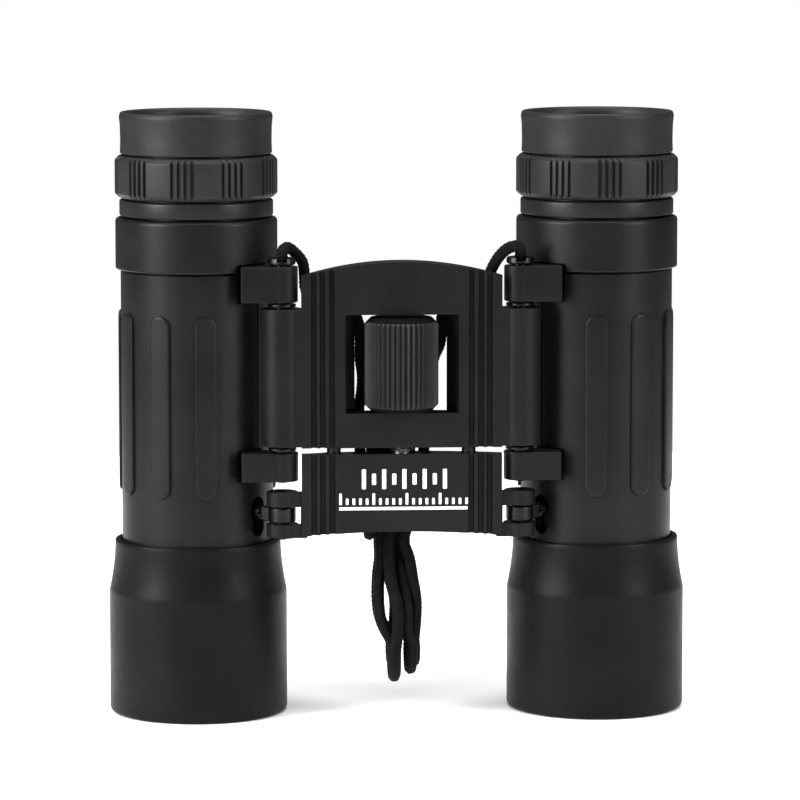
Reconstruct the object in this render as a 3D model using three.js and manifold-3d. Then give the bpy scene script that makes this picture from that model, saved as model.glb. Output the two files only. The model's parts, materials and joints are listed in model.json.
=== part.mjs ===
// Pocket roof-prism binoculars with two hinges, standing on the objective ends.
// Millimetres, Z up (the eyepieces are at the top), -Y is the side with the focus wheel.
// X = 0 is the middle of the bridge, and the floor is Z = 0.
import * as THREE from 'three';
import { mergeVertices } from 'three/addons/utils/BufferGeometryUtils.js';
import Module from 'manifold-3d';

const wasm = await Module();
wasm.setup();

// ---- Driving dimensions ----
const GAP = 0.3; // clearance between neighbouring pieces
const BARREL = { x: 36, y: 1.4 }; // optical axis, mirrored for the left barrel
const HINGE = { x: 21.15, y: -10.4 }; // hinge axis, mirrored for the left barrel
const SIDES = 28; // facets round the large turned pieces
const FINE = 16; // facets round the optics and the middle-sized pieces
const SMALL = 12; // facets round pins and rods

const REACH = Math.hypot(BARREL.x - HINGE.x, BARREL.y - HINGE.y); // hinge axis to optical axis
const LEAN = Math.atan2(BARREL.y - HINGE.y, BARREL.x - HINGE.x); // how far that line turns from X

// Heights of the barrel's pieces, from the floor up
const BELL = { crease: 22, web: 25.4, seat: 30, top: 31.4, radius: 16, bore: 14.6, lip: 14.9 };
const COVE = [[0, 1], [0.25, 0.62], [0.55, 0.22], [1, 0]]; // [share of the height, share of the width]
const CHASSIS = { bottom: 25.7, top: 88, outer: 12.8, inner: 11.9 };
const COVER = { bottom: 30.3, top: 79.9, inner: 13.1, outer: 13.6 };
const PAD = { bottom: 40, top: 72.6, width: 3.85, outer: 14.1, angles: [46, 81, 116, 151] };
const COLLAR = { bottom: 80.2, top: 89.4, outer: 14.5, inner: 12, round: 0.4 };
const OCULAR = [
  [9.2, 82], [11.5, 82], [11.5, 89.8], [13.75, 89.8], [13.75, 92.6], [11.9, 92.6],
  [11.9, 104.2], [8.6, 104.2], [8.6, 98], [7.4, 98], [7.4, 95], [9.2, 93],
];
const RING = { bottom: 92.95, top: 100.5, outer: 14.55, inner: 12.2, chamfer: 0.8 };
const EYECUP = { bottom: 100.8, top: 108.2, outer: 13.75, inner: 12.2, rim: 13.45 };

// Lugs of the barrel that ride on the hinge pin, measured outwards and forwards from its axis
const LUG = {
  eye: 2.85, front: 2.68, rear: 0.8, end: 7.25, endBack: -2, eyeStart: 71.5, eyeEnd: -163.7, clearance: 0.8,
};
const UPPER_LUG = { bottom: 75.1, top: 81.45 };
const LOWER_LUG = { bottom: 43.2, top: 48.3 };
const PIN = { radius: 1.2, bore: 1.5, bottom: 42.9, post: 2.45, postBottom: 81.75, top: 83 };
const CORD_HOLE = { depth: 0.7, notchHalf: 1 };
const WASHER = { radius: 2.5, height: 0.55 };

// Objective group, which slides inside the barrel to focus
const CELL = { front: 7, shoulder: 24.1, back: 42, head: 14.2, tail: 11.5, bore: 13.1, tailBore: 10.1 };
const CELL_SEAT = [[26, 10.1], [17.5, 12], [15.6, 12]]; // [z, radius] behind the front lens
const RETAINER = { inner: 12.1, bottom: 7.4, top: 9.2 };
const STUD = { z: 37.13, slotBottom: 32.7, slotTop: 39.9, slotHalf: 1.75, hole: 1.2 };
const STUD_SCREW = [[0, 10.6], [0.9, 10.6], [0.9, 13.2], [1.25, 13.2], [1.25, 14.7], [0, 14.7]];
const FOCUS_EYE = { bottom: 35.86, top: 38.4, radius: 2.4, bore: 1.3, half: 1.2, end: 15 };

// Optics: lens radius, heights of its edge and the rise of its faces
const FRONT_LENS = [12.75, 9.6, 14.4, 1.2, 0.6];
const FIELD_LENS = [8.8, 84.5, 87.5, 0.2, 1];
const EYE_LENS = [8.25, 98.6, 101.6, 0.5, 1.2];
const CAGE = [[8, 48], [11.5, 48], [11.5, 74], [7, 74], [7, 73], [10.6, 73], [10.6, 49], [8, 49]];
const CAGE_WINDOW = { half: 8, bottom: 51.5, top: 70.5 };
const HALF_PENTA = [[-5.5, 52], [5.5, 52], [8.4, 59], [8.4, 65.9]]; // side view of the prism
const ROOF = { ridge: [[-0.9, 57.2], [-5.6, 68.5]], base: [[8.4, 66.5], [8.4, 68.5]], size: 30 };
const PRISM_HALF = 5.5;

// Bridge plate, its window and the wheel in it
const PLATE = { front: -13.45, half: 17.78, bottom: 49.3, side: 79.9, top: 82.3, back: -8.2, edge: -11.6 };
const TUBE = { radius: 3.7, bottom: 49.5, top: 73.95 };
const TUBE_WEB = { from: 16.4, to: 19.6, back: -11 };
const WINDOW = { half: 10.05, backHalf: 7.9, bottom: 55.45, top: 72.97 };
const GROOVE = { xs: [12.35, 14.05, 15.6], width: 0.9, depth: 0.8 };
const WHEEL = {
  radius: 6.6, y: -10.9, bottom: 55.75, top: 72.35, bevel: 1.1, bore: 2.45, ridges: 42, depth: 0.55,
};

// Focus slide under the bridge, with its screw, rods and clevis ears
const SLIDE = { bottom: 34.3, top: 48.15, back: -8.6, arcSide: 32.8 };
const EAR = { radius: 2.85, bottom: 33.05, top: 41.35, front: -12.9, webFrom: 16.8, webTo: 21.2 };
const EAR_SLOT = { from: 17.95, to: 25, bottom: 35.5, top: 38.76 };
const CLEVIS_PIN = { radius: 1, bottom: 32.65, top: 41.55 };
const SCREW = { radius: 2.13, spigot: 1.5, bottom: 40.4, shoulder: 48.45, top: 71 };
const ROD = { x: 12, radius: 1.25, bottom: 40.4, top: 60.2, boss: 2.5, bossTop: 62 };

// Braided neck cord
const CORD = { radius: 1, sides: 8, stepLength: 1.6 };
const HANK = { left: -5.6, right: 3.4 };
const HANK_SIDE = [ // [y, z] down the front of the folded runs and up their back
  [-7.95, 48.95], [-7.9, 31.5], [-9.5, 27], [-12.5, 21], [-14.6, 16], [-15, 12.2],
  [-13.15, 7.75], [-8.7, 5.9], [-4.25, 7.75], [-2.4, 12.2], [-0.9, 31.5], [-0.9, 42],
  [0.85, 48.95], [-0.45, 52.1], [-3.55, 53.4], [-6.65, 52.1],
];
const TIE = { left: -5.3, right: 3.3, front: -7.9, back: -0.9, bottom: 36.4, top: 39.6, thickness: 0.4 };
const LEFT_LEAD = [
  [-21.1, -10.35, 83.6], [-20.9, -9.9, 84.2], [-20.3, -9, 84.6], [-19.6, -8.3, 84.4], [-18.9, -7.9, 83.8],
  [-18.1, -7.6, 83], [-17.4, -7.4, 82], [-17.1, -7.35, 80.7], [-17, -7.3, 79], [-16.8, -7.2, 77],
  [-15.7, -7.1, 75.5], [-13.4, -7, 75], [-10.8, -6.9, 74.5], [-8.5, -6.8, 73.3], [-7.4, -6.8, 71],
  [-7.1, -6.8, 68], [-7.1, -6.7, 64.5], [-6.7, -6.2, 61.4], [-6.8, -5.8, 58.6], [-7.2, -5.4, 56],
  [-7.4, -5.2, 53], [-7.2, -5.5, 49],
];
const RIGHT_LEAD = [
  [21.2, -10.8, 83.75], [21, -11.4, 84.5], [20.3, -11.8, 84.9], [19.3, -11.6, 84.7], [18.3, -11, 84],
  [17.3, -10.3, 82.8], [16.5, -9.7, 81.4], [16, -9.3, 80.2], [15.5, -9, 78.6], [14.2, -8.4, 76.7],
  [12, -7.7, 75.5], [9.8, -7.2, 74.8], [8.2, -6.9, 73.6], [7.5, -6.8, 71.8], [7.4, -6.8, 69.2],
  [7.1, -6.5, 67], [6.3, -5.7, 65], [5.7, -4.9, 62.5], [5.4, -4.3, 59.5], [5.2, -4, 56],
  [4.9, -3.7, 52.5], [4.8, -3.3, 49.5],
];

// ---- Solids: closed geometries that can be joined and cut ----
function toSolid(geometry) {
  const bare = geometry.clone();
  bare.deleteAttribute('normal');
  bare.deleteAttribute('uv');
  const merged = mergeVertices(bare);
  const corners = merged.index.array;
  const kept = [];
  for (let i = 0; i < corners.length; i += 3) {
    const [a, b, c] = [corners[i], corners[i + 1], corners[i + 2]];
    if (a !== b && b !== c && c !== a) kept.push(a, b, c);
  }
  return new wasm.Manifold(new wasm.Mesh({
    numProp: 3,
    vertProperties: new Float32Array(merged.attributes.position.array),
    triVerts: new Uint32Array(kept),
  }));
}

function toGeometry(solid) {
  const mesh = solid.getMesh();
  const geometry = new THREE.BufferGeometry();
  geometry.setAttribute('position', new THREE.BufferAttribute(mesh.vertProperties, 3));
  geometry.setIndex(new THREE.BufferAttribute(mesh.triVerts, 1));
  const flat = geometry.toNonIndexed();
  flat.computeVertexNormals();
  return flat;
}

function join(first, ...others) {
  return toGeometry(others.reduce((solid, other) => solid.add(toSolid(other)), toSolid(first)));
}

function cut(first, ...others) {
  return toGeometry(others.reduce((solid, other) => solid.subtract(toSolid(other)), toSolid(first)));
}

function common(first, second) {
  return toGeometry(toSolid(first).intersect(toSolid(second)));
}

// A closed outline of [radius, z] points turned about the Z axis
function turned(outline, sides = SIDES) {
  const points = outline.map(([radius, z]) => new THREE.Vector2(radius, z));
  if (THREE.ShapeUtils.isClockWise(points)) points.reverse();
  points.push(points[0].clone());
  return toGeometry(toSolid(new THREE.LatheGeometry(points, sides).rotateX(Math.PI / 2)));
}

function sleeve(inner, outer, bottom, top, sides = SIDES) {
  return turned([[inner, bottom], [outer, bottom], [outer, top], [inner, top]], sides);
}

function rod(radius, bottom, top, sides = SMALL) {
  return turned([[0, bottom], [radius, bottom], [radius, top], [0, top]], sides);
}

function block(x, y, z) {
  const size = [x, y, z].map(([low, high]) => high - low);
  const middle = [x, y, z].map(([low, high]) => (low + high) / 2);
  return new THREE.BoxGeometry(...size).translate(...middle);
}

// An outline in plan, from one height to another
function raised(outline, bottom, top) {
  const shape = Array.isArray(outline) ? shapeOf(outline) : outline;
  const options = { depth: top - bottom, bevelEnabled: false, curveSegments: 8 };
  return new THREE.ExtrudeGeometry(shape, options).translate(0, 0, bottom);
}

// An outline in X and Z, from front to back
function upright(outline, front, back) {
  return raised(outline, -back, -front).rotateX(Math.PI / 2);
}

function shapeOf(points) {
  return new THREE.Shape(points.map(([x, y]) => new THREE.Vector2(x, y)));
}

// Points on an arc, in degrees, for outlines
function arc(cx, cy, radius, from, to, steps) {
  return Array.from({ length: steps + 1 }, (_, i) => {
    const angle = THREE.MathUtils.degToRad(from + ((to - from) * i) / steps);
    return [cx + radius * Math.cos(angle), cy + radius * Math.sin(angle)];
  });
}

function moved(geometry, x, y, z = 0) {
  return geometry.clone().translate(x, y, z);
}

function mirrored(outline) {
  return [...outline, ...outline.map(([x, y]) => [-x, y]).reverse()];
}

// ---- Materials ----
const finishes = {
  armour: [0x262626, 0.62, 0],
  rubber: [0x1c1c1c, 0.8, 0],
  frame: [0x2a2a2b, 0.5, 0],
  lens: [0x8fb6b0, 0.05, 0],
  prism: [0xd6e2e0, 0.05, 0],
  steel: [0x6d6f72, 0.35, 1],
  blackened: [0x1d1d1e, 0.45, 0.6],
  cord: [0x161616, 0.9, 0],
};

function named(name, geometry, finish) {
  const [color, roughness, metalness] = finishes[finish];
  const mesh = new THREE.Mesh(geometry, new THREE.MeshStandardMaterial({ color, roughness, metalness }));
  mesh.name = name;
  return mesh;
}

// ---- Barrel pieces, in a frame on the optical axis with +X towards the hinge ----
// Places a point that is given outwards and forwards from the hinge axis. hand is -1 on the left.
function fromHinge(outward, forward, hand) {
  const along = outward * Math.cos(LEAN) - forward * Math.sin(LEAN);
  const across = outward * Math.sin(LEAN) + forward * Math.cos(LEAN);
  return [REACH - along, hand * across];
}

// A flat front, a round eye and a back edge that runs along the line to the optical axis
function lug({ bottom, top }, hand) {
  const wall = (CHASSIS.inner + CHASSIS.outer) / 2;
  const eye = arc(REACH, 0, LUG.eye, LUG.eyeStart, LUG.eyeEnd, 11).map(([x, y]) => [x, hand * y]);
  const outline = [
    fromHinge(LUG.end, LUG.front, hand), ...eye,
    [Math.sqrt(wall ** 2 - LUG.rear ** 2), -hand * LUG.rear], fromHinge(LUG.end, LUG.endBack, hand),
  ];
  return raised(outline, bottom, top);
}

// The room round a lug in the pieces outside the chassis
function lugRoom({ bottom, top }, hand) {
  const side = LUG.rear + GAP;
  const beyond = LUG.front + 2;
  const end = LUG.end + LUG.clearance;
  const outline = [
    fromHinge(end, beyond, hand), fromHinge(0, beyond, hand), [COLLAR.outer + 1, -hand * side],
    [CHASSIS.inner, -hand * side], fromHinge(end, LUG.endBack - GAP, hand),
  ];
  return raised(outline, bottom - GAP, top + GAP);
}

function chassis(hand) {
  const tube = sleeve(CHASSIS.inner, CHASSIS.outer, CHASSIS.bottom, CHASSIS.top);
  const bore = moved(rod(PIN.bore, LOWER_LUG.bottom - 1, UPPER_LUG.top + 1), REACH, 0);
  return cut(join(tube, lug(UPPER_LUG, hand), lug(LOWER_LUG, hand)), bore, focusSlot());
}

// The round-ended slot that the focus stud travels in
function focusSlot() {
  const { slotBottom, slotTop, slotHalf } = STUD;
  const outline = [
    ...arc(0, slotBottom + slotHalf, slotHalf, 180, 360, 6),
    ...arc(0, slotTop - slotHalf, slotHalf, 0, 180, 6),
  ];
  return upright(outline, -COLLAR.outer - 1, -CELL.tailBore).rotateZ(Math.PI / 2);
}

function pad(angle) {
  const half = PAD.width / 2;
  const outline = [
    ...arc(0, PAD.bottom + half, half, 180, 360, 4),
    ...arc(0, PAD.top - half, half, 0, 180, 4),
  ];
  return upright(outline, -PAD.outer - 1, -COVER.inner + 1)
    .rotateZ(Math.PI / 2 + THREE.MathUtils.degToRad(angle));
}

function cover(hand) {
  const pads = PAD.angles.flatMap((angle) => [pad(angle), pad(-angle)]);
  const skin = sleeve(COVER.inner + 0.1, PAD.outer, PAD.bottom - 1, PAD.top + 1);
  const raisedPads = common(join(...pads), skin);
  const tube = sleeve(COVER.inner, COVER.outer, COVER.bottom, COVER.top);
  const seam = block([CHASSIS.inner, REACH], [-GAP / 2, GAP / 2], [LOWER_LUG.top, UPPER_LUG.bottom]);
  const rooms = [lugRoom(UPPER_LUG, hand), lugRoom(LOWER_LUG, hand)];
  return cut(join(tube, raisedPads), ...rooms, seam, focusSlot());
}

function bell() {
  const rise = BELL.top - BELL.crease;
  const cove = COVE.map(([t, share]) =>
    [BELL.lip + (BELL.radius - BELL.lip) * share, BELL.crease + rise * t]);
  return turned([
    [BELL.bore, 0], [BELL.radius - 0.6, 0], [BELL.radius, 0.8], ...cove,
    [COVER.outer + GAP, BELL.top], [COVER.outer + GAP, BELL.seat], [CHASSIS.outer + GAP, BELL.seat],
    [CHASSIS.outer + GAP, BELL.web], [BELL.bore, BELL.web],
  ]);
}

function objectiveCell() {
  const { front, shoulder, back, head, tail, bore, tailBore } = CELL;
  const seat = CELL_SEAT.map(([z, radius]) => [radius, z]);
  const tube = turned([
    [bore, front], [head, front], [head, shoulder], [tail, shoulder], [tail, back],
    [tailBore, back], ...seat, [bore, CELL_SEAT[2][0]],
  ]);
  const studHole = rod(STUD.hole, tailBore - 2, tail + 1).rotateY(Math.PI / 2);
  return cut(tube, moved(studHole, 0, 0, STUD.z));
}

function lens([radius, edgeBottom, edgeTop, sagBottom, sagTop]) {
  const dome = (edge, sag, from, to) => Array.from({ length: 3 }, (_, i) => {
    const r = radius * (from + ((to - from) * i) / 2);
    return [r, edge + sag * (1 - (r / radius) ** 2)];
  });
  return turned([...dome(edgeBottom, -sagBottom, 0, 1), ...dome(edgeTop, sagTop, 1, 0)], FINE);
}

function objectiveRetainer() {
  return sleeve(RETAINER.inner, CELL.bore - GAP, RETAINER.bottom, RETAINER.top);
}

function focusArm() {
  const { bottom, top, radius, bore, half, end } = FOCUS_EYE;
  const outline = [...arc(REACH, 0, radius, -150, 150, 12), [end, half], [end, -half]];
  return cut(raised(outline, bottom, top), moved(rod(bore, bottom - 1, top + 1), REACH, 0));
}

function studScrew() {
  return moved(turned(STUD_SCREW, SMALL).rotateY(Math.PI / 2), 0, 0, STUD.z);
}

function prismCage() {
  const { half, bottom, top } = CAGE_WINDOW;
  return cut(turned(CAGE, FINE), block([-half, half], [-COLLAR.outer, COLLAR.outer], [bottom, top]));
}

function halfPenta() {
  return upright(HALF_PENTA, -PRISM_HALF, PRISM_HALF);
}

// The roof is a square corner that leans along the prism's ridge
function roofPrism() {
  const [[lowX, lowZ], [highX, highZ]] = ROOF.ridge;
  const half = ROOF.size / 2;
  const length = Math.hypot(highX - lowX, highZ - lowZ);
  const tilt = Math.atan2(lowX - highX, highZ - lowZ);
  const corner = block([-half, half], [-half, half], [-length, 2 * length])
    .rotateZ(Math.PI / 4)
    .translate(ROOF.size / Math.SQRT2, 0, 0)
    .rotateY(-tilt)
    .translate(lowX, 0, lowZ);
  const side = [ROOF.ridge[0], ...ROOF.base, ROOF.ridge[1]];
  return common(upright(side, -PRISM_HALF, PRISM_HALF), corner);
}

function collar(hand) {
  const { bottom, top, outer, inner, round } = COLLAR;
  const seat = CHASSIS.outer + GAP;
  const shell = turned([
    [seat, bottom], [outer, bottom], [outer, top - round], [outer - round, top],
    [inner, top], [inner, CHASSIS.top + GAP], [seat, CHASSIS.top + GAP],
  ]);
  return cut(shell, lugRoom(UPPER_LUG, hand));
}

function ocularTube() {
  return turned(OCULAR);
}

function gripRing() {
  const { bottom, top, outer, inner, chamfer } = RING;
  return turned([
    [inner, bottom], [outer - chamfer, bottom], [outer, bottom + chamfer],
    [outer, top - chamfer], [outer - chamfer, top], [inner, top],
  ]);
}

function eyecup() {
  const { bottom, top, outer, inner, rim } = EYECUP;
  return turned([
    [inner, bottom], [outer - 0.15, bottom], [outer, bottom + 2], [outer, top - 0.6],
    [rim, top], [inner, top],
  ]);
}

// ---- Bridge pieces ----
function backCurve(back, edge, half) {
  return [1, 0.67, 0.33, 0].map((share) => [half * share, back + (edge - back) * share ** 2]);
}

// The plan of a plate with a flat front and a curved back
function platePlan(back, half) {
  const side = [[half, PLATE.front], ...backCurve(back, PLATE.edge, half)];
  return mirrored(side.slice(0, -1).concat([[0.01, back]]));
}

function grooves(bottom, top) {
  const { xs, width, depth } = GROOVE;
  return [-1, 1].flatMap((side) => xs.map((x) => block(
    [side * x - width / 2, side * x + width / 2],
    [PLATE.front - 1, PLATE.front + depth],
    [bottom, top],
  )));
}

function bridge() {
  const { half, bottom, side, top } = PLATE;
  const crown = (top - side) / half ** 2;
  const arch = [-1, -0.67, -0.33, 0, 0.33, 0.67, 1].map((share) =>
    [-share * half, top - crown * (share * half) ** 2]);
  const front = upright([[-half, bottom], [half, bottom], ...arch], -20, 0);
  const plate = common(raised(platePlan(PLATE.back, half), bottom - 1, top + 1), front);
  const parts = [-1, 1].flatMap((hand) => [
    moved(rod(TUBE.radius, TUBE.bottom, TUBE.top, FINE), hand * HINGE.x, HINGE.y),
    block(onSide(hand, TUBE_WEB.from, TUBE_WEB.to), [PLATE.front, TUBE_WEB.back], [TUBE.bottom, TUBE.top]),
    moved(rod(ROD.boss, bottom, ROD.bossTop, SMALL), hand * ROD.x, WHEEL.y),
  ]);
  const bores = [-1, 1].flatMap((hand) => [
    moved(rod(PIN.bore, bottom - 1, TUBE.top + 1), hand * HINGE.x, HINGE.y),
    moved(rod(ROD.radius + GAP, bottom - 1, ROD.bossTop - 0.8), hand * ROD.x, WHEEL.y),
  ]);
  const screwBore = moved(rod(SCREW.radius + GAP, bottom - 1, WINDOW.bottom + 1), 0, WHEEL.y);
  return cut(join(plate, ...parts), ...bores, screwBore, windowHole(), ...grooves(bottom - 1, top + 1));
}

// An X range on the left (-1) or right (1) side
function onSide(hand, from, to) {
  return hand < 0 ? [-to, -from] : [from, to];
}

// The window narrows towards the back
function windowHole() {
  const { half, backHalf, bottom, top } = WINDOW;
  const plan = [[-half, PLATE.front], [half, PLATE.front], [backHalf, PLATE.back], [backHalf, 0],
    [-backHalf, 0], [-backHalf, PLATE.back]];
  const mouth = block([-half, half], [PLATE.front - 5, PLATE.front], [bottom, top]);
  return join(raised(plan, bottom, top), mouth);
}

function focusWheel() {
  const { radius, bottom, top, bevel, bore, ridges, depth } = WHEEL;
  const outline = Array.from({ length: ridges * 2 }, (_, i) => {
    const angle = (Math.PI * i) / ridges;
    const r = i % 2 ? radius - depth : radius;
    return [r * Math.cos(angle), r * Math.sin(angle)];
  });
  const rim = radius + 0.1;
  const ends = turned([[0, bottom], [rim - bevel, bottom], [rim, bottom + bevel],
    [rim, top - bevel], [rim - bevel, top], [0, top]]);
  return cut(common(raised(outline, bottom, top), ends), rod(bore, bottom - 1, top + 1));
}

function focusSlide() {
  const { bottom, top, back, arcSide } = SLIDE;
  const edge = HINGE.x + EAR.radius;
  const drop = (bottom - arcSide) / edge ** 2;
  const lowerEdge = [-1, -0.6, -0.3, 0, 0.3, 0.6, 1].map((share) =>
    [share * edge, bottom - drop * (share * edge) ** 2]);
  const front = upright([...lowerEdge, [edge, top], [-edge, top]], -20, 0);
  const plate = raised(platePlan(back, PLATE.half), EAR.bottom - 1, top);
  const parts = [-1, 1].flatMap((hand) => [
    moved(rod(EAR.radius, EAR.bottom, EAR.top, FINE), hand * HINGE.x, HINGE.y),
    block(onSide(hand, EAR.webFrom, EAR.webTo), [EAR.front, WHEEL.y], [EAR.bottom, EAR.top]),
    moved(rod(ROD.boss, EAR.bottom, top, SMALL), hand * ROD.x, WHEEL.y),
  ]);
  const cuts = [-1, 1].flatMap((hand) => [
    block(onSide(hand, EAR_SLOT.from, EAR_SLOT.to), [-20, 0], [EAR_SLOT.bottom, EAR_SLOT.top]),
    moved(rod(CLEVIS_PIN.radius + GAP, EAR.bottom - 1, EAR.top + 1), hand * HINGE.x, HINGE.y),
    moved(rod(ROD.radius + GAP, ROD.bottom - GAP, top + 1), hand * ROD.x, WHEEL.y),
  ]);
  const screwSocket = moved(rod(SCREW.spigot + GAP, SCREW.bottom - GAP, top + 1), 0, WHEEL.y);
  const whole = common(join(plate, ...parts), front);
  return cut(whole, ...cuts, screwSocket, ...grooves(bottom - 5, top + 1));
}

function focusScrew() {
  const { radius, spigot, bottom, shoulder, top } = SCREW;
  return turned([[0, bottom], [spigot, bottom], [spigot, shoulder], [radius, shoulder],
    [radius, top - 0.5], [radius - 0.5, top], [0, top]], SMALL);
}

function hingePin() {
  const { radius, bottom, post, postBottom, top } = PIN;
  const { depth, notchHalf } = CORD_HOLE;
  const pin = turned([[0, bottom], [radius, bottom], [radius, postBottom], [post, postBottom],
    [post, top - 0.3], [post - 0.3, top], [0, top]], SMALL);
  const hole = rod(CORD.radius + GAP, top - depth, top + 1, SMALL);
  const notch = block([-notchHalf, notchHalf], [-post - 1, 0], [top - depth, top + 1]);
  return cut(pin, hole, notch);
}

function washer() {
  return sleeve(PIN.bore, WASHER.radius, 0, WASHER.height, SMALL);
}

// ---- Cord ----
function lead(route) {
  const curve = new THREE.CatmullRomCurve3(route.map((point) => new THREE.Vector3(...point)));
  const steps = Math.round(curve.getLength() / CORD.stepLength);
  const section = shapeOf(arc(0, 0, CORD.radius, 0, 360, CORD.sides).slice(0, -1));
  return new THREE.ExtrudeGeometry(section, { steps, extrudePath: curve, bevelEnabled: false });
}

// The folded runs lie in planes across X. The tie draws them in.
function hank() {
  const runs = upright(HANK_SIDE, -HANK.right, -HANK.left).rotateZ(Math.PI / 2);
  const { left, right, front, back, bottom, top } = TIE;
  const around = block([left - 5, right + 5], [front - 5, back + 5], [bottom - GAP, top + GAP]);
  const waist = block([left + GAP, right - GAP], [front + GAP, back - GAP], [bottom - 1, top + 1]);
  return cut(runs, cut(around, waist));
}

function tie() {
  const { left, right, front, back, bottom, top, thickness } = TIE;
  const band = (grow, rise) => block(
    [left - grow, right + grow], [front - grow, back + grow], [bottom - rise, top + rise],
  );
  return cut(band(thickness, 0), band(0, 1));
}

// ---- Assembly ----
const turnedPieces = [
  ['bell', bell(), 'armour'],
  ['objective_cell', objectiveCell(), 'blackened'],
  ['objective_lens', lens(FRONT_LENS), 'lens'],
  ['objective_retainer', objectiveRetainer(), 'blackened'],
  ['focus_arm', focusArm(), 'blackened'],
  ['stud_screw', studScrew(), 'blackened'],
  ['prism_cage', prismCage(), 'frame'],
  ['half_penta_prism', halfPenta(), 'prism'],
  ['roof_prism', roofPrism(), 'prism'],
  ['ocular_tube', ocularTube(), 'frame'],
  ['field_lens', lens(FIELD_LENS), 'lens'],
  ['eye_lens', lens(EYE_LENS), 'lens'],
  ['grip_ring', gripRing(), 'rubber'],
  ['eyecup', eyecup(), 'rubber'],
];

function barrel(name, hand) {
  const group = new THREE.Group();
  group.position.set(hand * BARREL.x, BARREL.y, 0);
  group.rotation.z = Math.atan2(HINGE.y - BARREL.y, hand * (HINGE.x - BARREL.x));
  const handed = [
    ['chassis', chassis(hand), 'frame'],
    ['cover', cover(hand), 'armour'],
    ['collar', collar(hand), 'armour'],
  ];
  for (const [piece, geometry, finish] of [...handed, ...turnedPieces]) {
    group.add(named(`${name}_${piece}`, geometry, finish));
  }
  return group;
}

function hinge(name, hand) {
  const group = new THREE.Group();
  group.position.set(hand * HINGE.x, HINGE.y, 0);
  const lower = named(`${name}_lower_washer`, washer(), 'blackened');
  const upper = named(`${name}_upper_washer`, washer(), 'blackened');
  lower.position.z = LOWER_LUG.top + GAP;
  upper.position.z = TUBE.top + GAP;
  group.add(named(`${name}_hinge_pin`, hingePin(), 'blackened'), lower, upper);
  const clevisPin = rod(CLEVIS_PIN.radius, CLEVIS_PIN.bottom, CLEVIS_PIN.top);
  group.add(named(`${name}_clevis_pin`, clevisPin, 'blackened'));
  return group;
}

function centre() {
  const group = new THREE.Group();
  const wheel = named('focus_wheel', focusWheel(), 'rubber');
  const screw = named('focus_screw', focusScrew(), 'steel');
  wheel.position.y = WHEEL.y;
  screw.position.y = WHEEL.y;
  group.add(named('bridge', bridge(), 'frame'), named('focus_slide', focusSlide(), 'frame'), wheel, screw);
  for (const [name, hand] of [['left', -1], ['right', 1]]) {
    const guide = named(`${name}_guide_rod`, rod(ROD.radius, ROD.bottom, ROD.top), 'blackened');
    guide.position.set(hand * ROD.x, WHEEL.y, 0);
    group.add(guide);
  }
  return group;
}

function cord() {
  const group = new THREE.Group();
  group.add(
    named('cord_lead_left', lead(LEFT_LEAD), 'cord'),
    named('cord_lead_right', lead(RIGHT_LEAD), 'cord'),
    named('cord_hank', hank(), 'cord'),
    named('cord_tie', tie(), 'rubber'),
  );
  return group;
}

const binoculars = new THREE.Group();
binoculars.add(centre(), cord());
binoculars.add(barrel('left', -1), barrel('right', 1));
binoculars.add(hinge('left', -1), hinge('right', 1));

export default binoculars;
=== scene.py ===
"""Looks for the pocket binoculars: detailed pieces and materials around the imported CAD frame."""
import json
import math

import bmesh
import bpy
from mathutils import Matrix, Vector


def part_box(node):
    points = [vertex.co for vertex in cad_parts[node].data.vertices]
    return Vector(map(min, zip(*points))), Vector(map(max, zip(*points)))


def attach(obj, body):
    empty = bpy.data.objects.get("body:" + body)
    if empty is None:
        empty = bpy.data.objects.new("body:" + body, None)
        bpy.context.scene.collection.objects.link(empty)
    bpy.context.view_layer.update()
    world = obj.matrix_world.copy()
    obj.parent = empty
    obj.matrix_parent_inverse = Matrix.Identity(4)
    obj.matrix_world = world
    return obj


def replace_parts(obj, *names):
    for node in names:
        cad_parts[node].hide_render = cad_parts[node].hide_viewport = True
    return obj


MM = 0.001
HANDS = {"left": -1, "right": 1}

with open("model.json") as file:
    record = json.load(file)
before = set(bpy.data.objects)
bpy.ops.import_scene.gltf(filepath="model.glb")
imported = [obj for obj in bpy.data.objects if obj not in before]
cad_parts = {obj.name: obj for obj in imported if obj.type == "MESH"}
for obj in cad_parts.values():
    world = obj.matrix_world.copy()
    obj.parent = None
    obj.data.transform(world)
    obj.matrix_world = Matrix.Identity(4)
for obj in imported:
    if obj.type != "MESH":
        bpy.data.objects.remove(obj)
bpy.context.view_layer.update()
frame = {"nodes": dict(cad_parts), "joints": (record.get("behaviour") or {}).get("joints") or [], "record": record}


# ---- Places, in millimetres, read from the frame ----
def corners(node):
    low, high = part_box(node)
    return low / MM, high / MM


def heights(node):
    low, high = corners(node)
    return low.z, high.z


def joint_axis(name):
    joint = next(j for j in frame["joints"] if j["name"] == name)
    return Vector(joint["pos_m"]) / MM


def barrel_axis(side):
    low, high = corners(f"{side}_eyecup")
    return (low + high) / 2


BODY = {n: body for body, nodes in frame["record"]["behaviour"]["bodies"].items() for n in nodes}
HINGE = joint_axis("right_fold")
AXIS = barrel_axis("right")
REACH = math.hypot(AXIS.x - HINGE.x, AXIS.y - HINGE.y)
LEAN = math.atan2(AXIS.y - HINGE.y, AXIS.x - HINGE.x)
PLATE_FRONT = corners("bridge")[0].y + 0.65  # the hinge tubes stand proud of the plate
WHEEL_Y = -10.9  # the focus screw and both guide rods stand on this line
GUIDE_X = 12  # from the middle to a guide rod
GUIDE_BORE, GUIDE_BOSS = 1.55, 2.5
GROOVE_DEPTH = 0.8


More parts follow.
